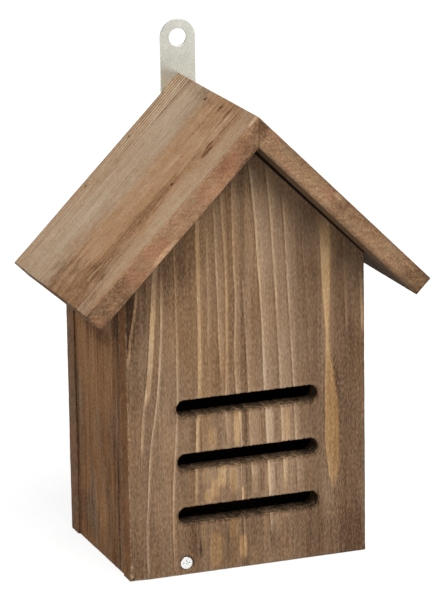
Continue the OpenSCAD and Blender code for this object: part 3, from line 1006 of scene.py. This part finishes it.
def roof_board(node, side, material, brads):
    lo, hi = mm_box(node)
    down, inward = roof_axes(side)
    length = max(abs(lo.x), abs(hi.x)) / math.cos(PITCH)
    thick = (RIDGE - APEX) * math.cos(PITCH)
    cut = thick * math.tan(PITCH)
    # The underside, under the roof, gets painted shade of strength 0.55
    board = Board(node, (0, lo.y, RIDGE), down, Y, inward, thick, 0.55)
    far = hi.y - lo.y
    faces = [corners((start, 0), (length, 0), (length, far), (start, far)) for start in (0, cut)]
    board.outline(*faces, 53.0 + 10 * side, step=1.6)
    for place in brads:
        profile = [(BRAD_HOLE_R + 0.3, 0.0), (BRAD_HOLE_R + 0.1, 0.02), (BRAD_HOLE_R, 0.25),
                   (BRAD_HOLE_R, thick)]
        # Painted shade inside the brad holes
        board.round_hole(Vector(place), profile, sides=12, dark=0.35)
    board.finish(material, "house", "wood_roof")


# Metal pieces


def metal(name, dark, light, roughness, grain, broad, relief):
    g = Grain(name, ORIGIN, X, Y, Z, 4.0)
    fine = g.field(grain, grain, 5.0, detail=4.0, rough=0.65)
    wide = g.field(broad, broad, 9.0, detail=3.0)
    value = g.weigh(0.5, (fine, 0.40), (wide, 0.16))
    colour = g.ramp(value, [(0.0, dark), (1.0, light)])
    rough = g.span(value, 0.0, 1.0, roughness * 1.25, roughness * 0.8)
    return g.surface(colour, rough, g.bump(g.add(fine, wide), relief, 0.4), 0.5, 1.0)


def cross_depth(x, y, reach, half, deep):
    """Depth of a cross recess at a place on a screw's head."""
    arm = min(abs(x), abs(y))
    far = max(abs(x), abs(y))
    wall = min(1.0, max(0.0, (half - arm) / 0.16))
    end = min(1.0, max(0.0, (reach - far) / 0.5))
    return deep * wall * end


def lathe_screw(mesh, seat, sign, head, length, shank_r, point, pitch, recess):
    """A cross-head screw along y, whose sign is 1 where it points to the back and -1 where to the front.

    head lists (radius, height above the seat) from the rim of its flat top down.
    """
    axis = Vector((0, sign, 0))
    side = Vector(X)
    other = axis.cross(side)
    around = SCREW_SIDES
    top_r, top_z = head[0]
    rings = []
    for k in range(1, HEAD_RINGS + 1):
        r = top_r * k / HEAD_RINGS
        rings.append([(r, top_z)] * around)
    rings += [[(r, z)] * around for r, z in head[1:]]
    core = shank_r * THREAD_CORE
    steps = int(length / THREAD_STEP)
    for k in range(steps + 1):
        z = -length * k / steps
        ring = []
        for i in range(around):
            phase = (z / pitch + i / around) % 1.0
            ridge = max(0.0, 1 - abs(phase - 0.5) * 3.2)
            taper = min(1.0, (length + z) / point + 0.08)
            lead = min(1.0, -z / 1.5)
            ring.append(((core + (shank_r - core) * max(ridge * lead, 1 - lead * 3)) * taper, z))
        rings.append(ring)
    made = []
    for ring in rings:
        verts = []
        for i, (r, z) in enumerate(ring):
            angle = 2 * math.pi * i / around
            x, y = r * math.cos(angle), r * math.sin(angle)
            sunk = cross_depth(x, y, *recess) if z == top_z else 0.0
            verts.append(mesh.verts.new((seat + side * x + other * y - axis * (z - sunk)) * MM))
        made.append(verts)
    middle = mesh.verts.new((seat - axis * (top_z - cross_depth(0, 0, *recess))) * MM)
    end = mesh.verts.new((seat + axis * (length + 0.02)) * MM)
    for i in range(around):
        j = (i + 1) % around
        mesh.faces.new((middle, made[0][i], made[0][j]))
        mesh.faces.new((end, made[-1][j], made[-1][i]))
        for a, b in zip(made, made[1:]):
            face = mesh.faces.new((a[i], a[j], b[j], b[i]))
            face.smooth = True
    return mesh


def pivot_screws(material):
    shank_r = PIVOT_SCREW[0]
    for node, body, sign in (("front_screw", "front_pivot", 1), ("back_screw", "back_pivot", -1)):
        lo, hi = mm_box(node)
        outer = lo.y if sign > 0 else hi.y
        head_r = (hi.x - lo.x) / 2
        seat_y = outer + sign * (HEAD_LAND + head_r - shank_r)
        length = (hi.y - lo.y) - (HEAD_LAND + head_r - shank_r)
        seat = Vector(((lo.x + hi.x) / 2, seat_y, (lo.z + hi.z) / 2))
        rise = abs(seat_y - outer)
        head = [(head_r - 0.35, rise), (head_r - 0.12, rise - 0.05), (head_r, rise - 0.16),
                (head_r, rise - HEAD_LAND), (shank_r + 0.15, 0.15)]
        mesh = lathe_screw(bmesh.new(), seat, sign, head, length, *PIVOT_SCREW)
        add_piece(mesh, material, body, "zinc_steel", node)


def fixing_screws(material):
    lo, hi = mm_box("hanger_screws")
    seat_y = mm_box("hanger_strip")[1].y
    head = [(1.7, 1.8), (2.2, 1.62), (2.65, 1.25), (2.92, 0.75), (FIXING_HEAD_R, 0.3), (2.98, 0.0),
            (1.6, 0.0)]
    mesh = bmesh.new()
    for z in (lo.z + FIXING_HEAD_R, hi.z - FIXING_HEAD_R):
        lathe_screw(mesh, Vector((0, seat_y, z)), -1, head, seat_y - lo.y, *FIXING_SCREW)
    add_piece(mesh, material, "house", "zinc_steel", "hanger_screws")


def hanger_strip(material):
    lo, hi = mm_box("hanger_strip")
    r = (hi.x - lo.x) / 2
    t = hi.y - lo.y
    board = Board("hanger_strip", (0, hi.y, 0), X, Z, (0, -1, 0), t)
    face = []
    arc = 28
    for middle, start in ((hi.z - r, 0.0), (lo.z + r, math.pi)):
        for i in range(arc + 1):
            angle = start + math.pi * i / arc
            face.append(Vector((r * math.cos(angle), middle + r * math.sin(angle))))
    board.outline(face, face, 71.0, step=1.5, chips=0, base=0.18)
    screws_lo, screws_hi = mm_box("hanger_screws")
    head_r = (screws_hi.x - screws_lo.x) / 2
    holes = [(hi.z - r, HANG_R), (screws_lo.z + head_r, FIX_HOLE_R), (screws_hi.z - head_r, FIX_HOLE_R)]
    for z, hole in holes:
        profile = [(hole + 0.5, 0.0), (hole + 0.12, 0.0), (hole, 0.12), (hole, t - 0.12),
                   (hole + 0.12, t), (hole + 0.5, t)]
        board.round_hole(Vector((0.0, z)), profile, sides=48, dark=0.0)
    board.finish(material, "house", "galvanised_steel")


# Stage, light and camera


def pale(name, grey, shown_grey, glow):
    """Pale stage surface that looks nearly white to the camera and still keeps the shadow."""
    tree = Tree(bpy.data.materials.new(name))
    path = tree.nodes.new("ShaderNodeLightPath").outputs
    seen = tree.math("MAXIMUM", path["Is Camera Ray"], path["Is Glossy Ray"])
    seen = tree.math("MAXIMUM", seen, path["Is Transmission Ray"])
    plain = tree.shader("ShaderNodeBsdfDiffuse", (grey, grey, grey, 1.0))
    shown = tree.shader("ShaderNodeBsdfDiffuse", (shown_grey, shown_grey, shown_grey, 1.0))
    light = tree.shader("ShaderNodeEmission", WHITE, glow)
    both = tree.shader("ShaderNodeAddShader", shown, light)
    return tree.close(tree.shader("ShaderNodeMixShader", seen, plain, both))


def stage():
    data = bpy.data.meshes.new("stage_floor")
    h = FLOOR_SIZE / 2
    data.from_pydata([(-h, -h, 0), (h, -h, 0), (h, h, 0), (-h, h, 0)], [], [(0, 1, 2, 3)])
    data.materials.append(pale("stage_white", FLOOR_GREY, FLOOR_SHOWN, FLOOR_GLOW))
    floor = bpy.data.objects.new("stage_floor", data)
    floor.location.z = -FLOOR_DROP
    bpy.context.scene.collection.objects.link(floor)


def world():
    """A white surround that is dimmer as light than as seen."""
    sky = bpy.data.worlds.new("studio")
    bpy.context.scene.world = sky
    tree = Tree(sky)
    path = tree.nodes.new("ShaderNodeLightPath").outputs
    seen = tree.math("MAXIMUM", path["Is Camera Ray"], path["Is Transmission Ray"])
    level = tree.span(seen, 0.0, 1.0, WORLD_LEVEL, 1.0)
    tree.close(tree.shader("ShaderNodeBackground", WHITE, level), "ShaderNodeOutputWorld")


def sun():
    data = bpy.data.lights.new("key", "SUN")
    data.energy = SUN_LEVEL
    data.angle = math.radians(SUN_ANGLE)
    lamp = bpy.data.objects.new("key", data)
    lamp.rotation_euler = Vector(SUN_FROM).to_track_quat("Z", "Y").to_euler()
    bpy.context.scene.collection.objects.link(lamp)


def camera():
    az, el, roll = (math.radians(x) for x in (CAMERA_AZ, CAMERA_EL, CAMERA_ROLL))
    back = Vector((math.sin(az) * math.cos(el), -math.cos(az) * math.cos(el), math.sin(el)))
    level = unit((-back).cross(Vector(Z)))
    upward = level.cross(-back)
    right = level * math.cos(roll) + upward * math.sin(roll)
    up = -level * math.sin(roll) + upward * math.cos(roll)
    data = bpy.data.cameras.new("camera")
    data.sensor_fit = "AUTO"
    data.sensor_width = SENSOR_MM
    data.lens = FOCAL_PX * SENSOR_MM / FRAME_HIGH_PX
    data.clip_start, data.clip_end = 0.05, 50.0
    eye = bpy.data.objects.new("camera", data)
    basis = Matrix((right, up, back)).transposed().to_4x4()
    basis.translation = Vector(CAMERA_AIM) + back * CAMERA_DIST
    eye.matrix_world = basis
    bpy.context.scene.collection.objects.link(eye)
    bpy.context.scene.camera = eye


def main():
    bpy.context.scene.view_settings.view_transform = "Standard"
    side = plain_wood("side_wood", Y, X, Z, 5.0, SIDE_STAIN, SIDE_GREY, 11.0, SIDE_TONE_AND_SHADE_SPOTS,
                      SIDE_HUE_SPOTS)
    back = plain_wood("back_wood", X, Y, Z, 8.0, SIDE_STAIN, SIDE_GREY, 9.0, BACK_TONE_SPOTS,
                      BACK_HUE_SPOTS)
    floor = plain_wood("floor_wood", X, Z, Y, 3.0, STAIN, SIDE_GREY, 8.0)
    front_panel(front_wood())
    back_panel(back)
    side_board("left_side", side)
    side_board("right_side", side)
    floor_board(floor)
    left = roof_wood("roof_left_wood", -1, 9.0, ROOF_TONE_SPOTS, 0.515, LEFT_FASCIA_SPOTS, 0.12, -0.15,
                     RED_SPOTS)
    right = roof_wood("roof_right_wood", 1, 14.0, RIGHT_ROOF_SPOTS, 0.49, RIGHT_FASCIA_SPOTS, -0.35, 0.4)
    roof_board("left_roof", -1, left, ROOF_BRADS + RIDGE_BRADS)
    roof_board("right_roof", 1, right, ROOF_BRADS)
    zinc = metal("zinc", (0.70, 0.70, 0.69), (0.97, 0.97, 0.96), 0.30, 2.5, 0.4, 0.00003)
    galvanised = metal("galvanised", srgb(200, 202, 192), srgb(243, 243, 232), 0.45, 1.0, 0.15, 0.00005)
    dark = metal("dark_steel", srgb(96, 74, 56), srgb(134, 106, 82), 0.6, 2.5, 0.4, 0.00004)
    pivot_screws(zinc)
    fixing_screws(zinc)
    hanger_strip(galvanised)
    for node in ("left_roof_brads", "right_roof_brads", "ridge_brads"):
        data = frame["nodes"][node].data
        data.materials.clear()
        data.materials.append(dark)
    stage()
    world()
    sun()
    camera()


main()
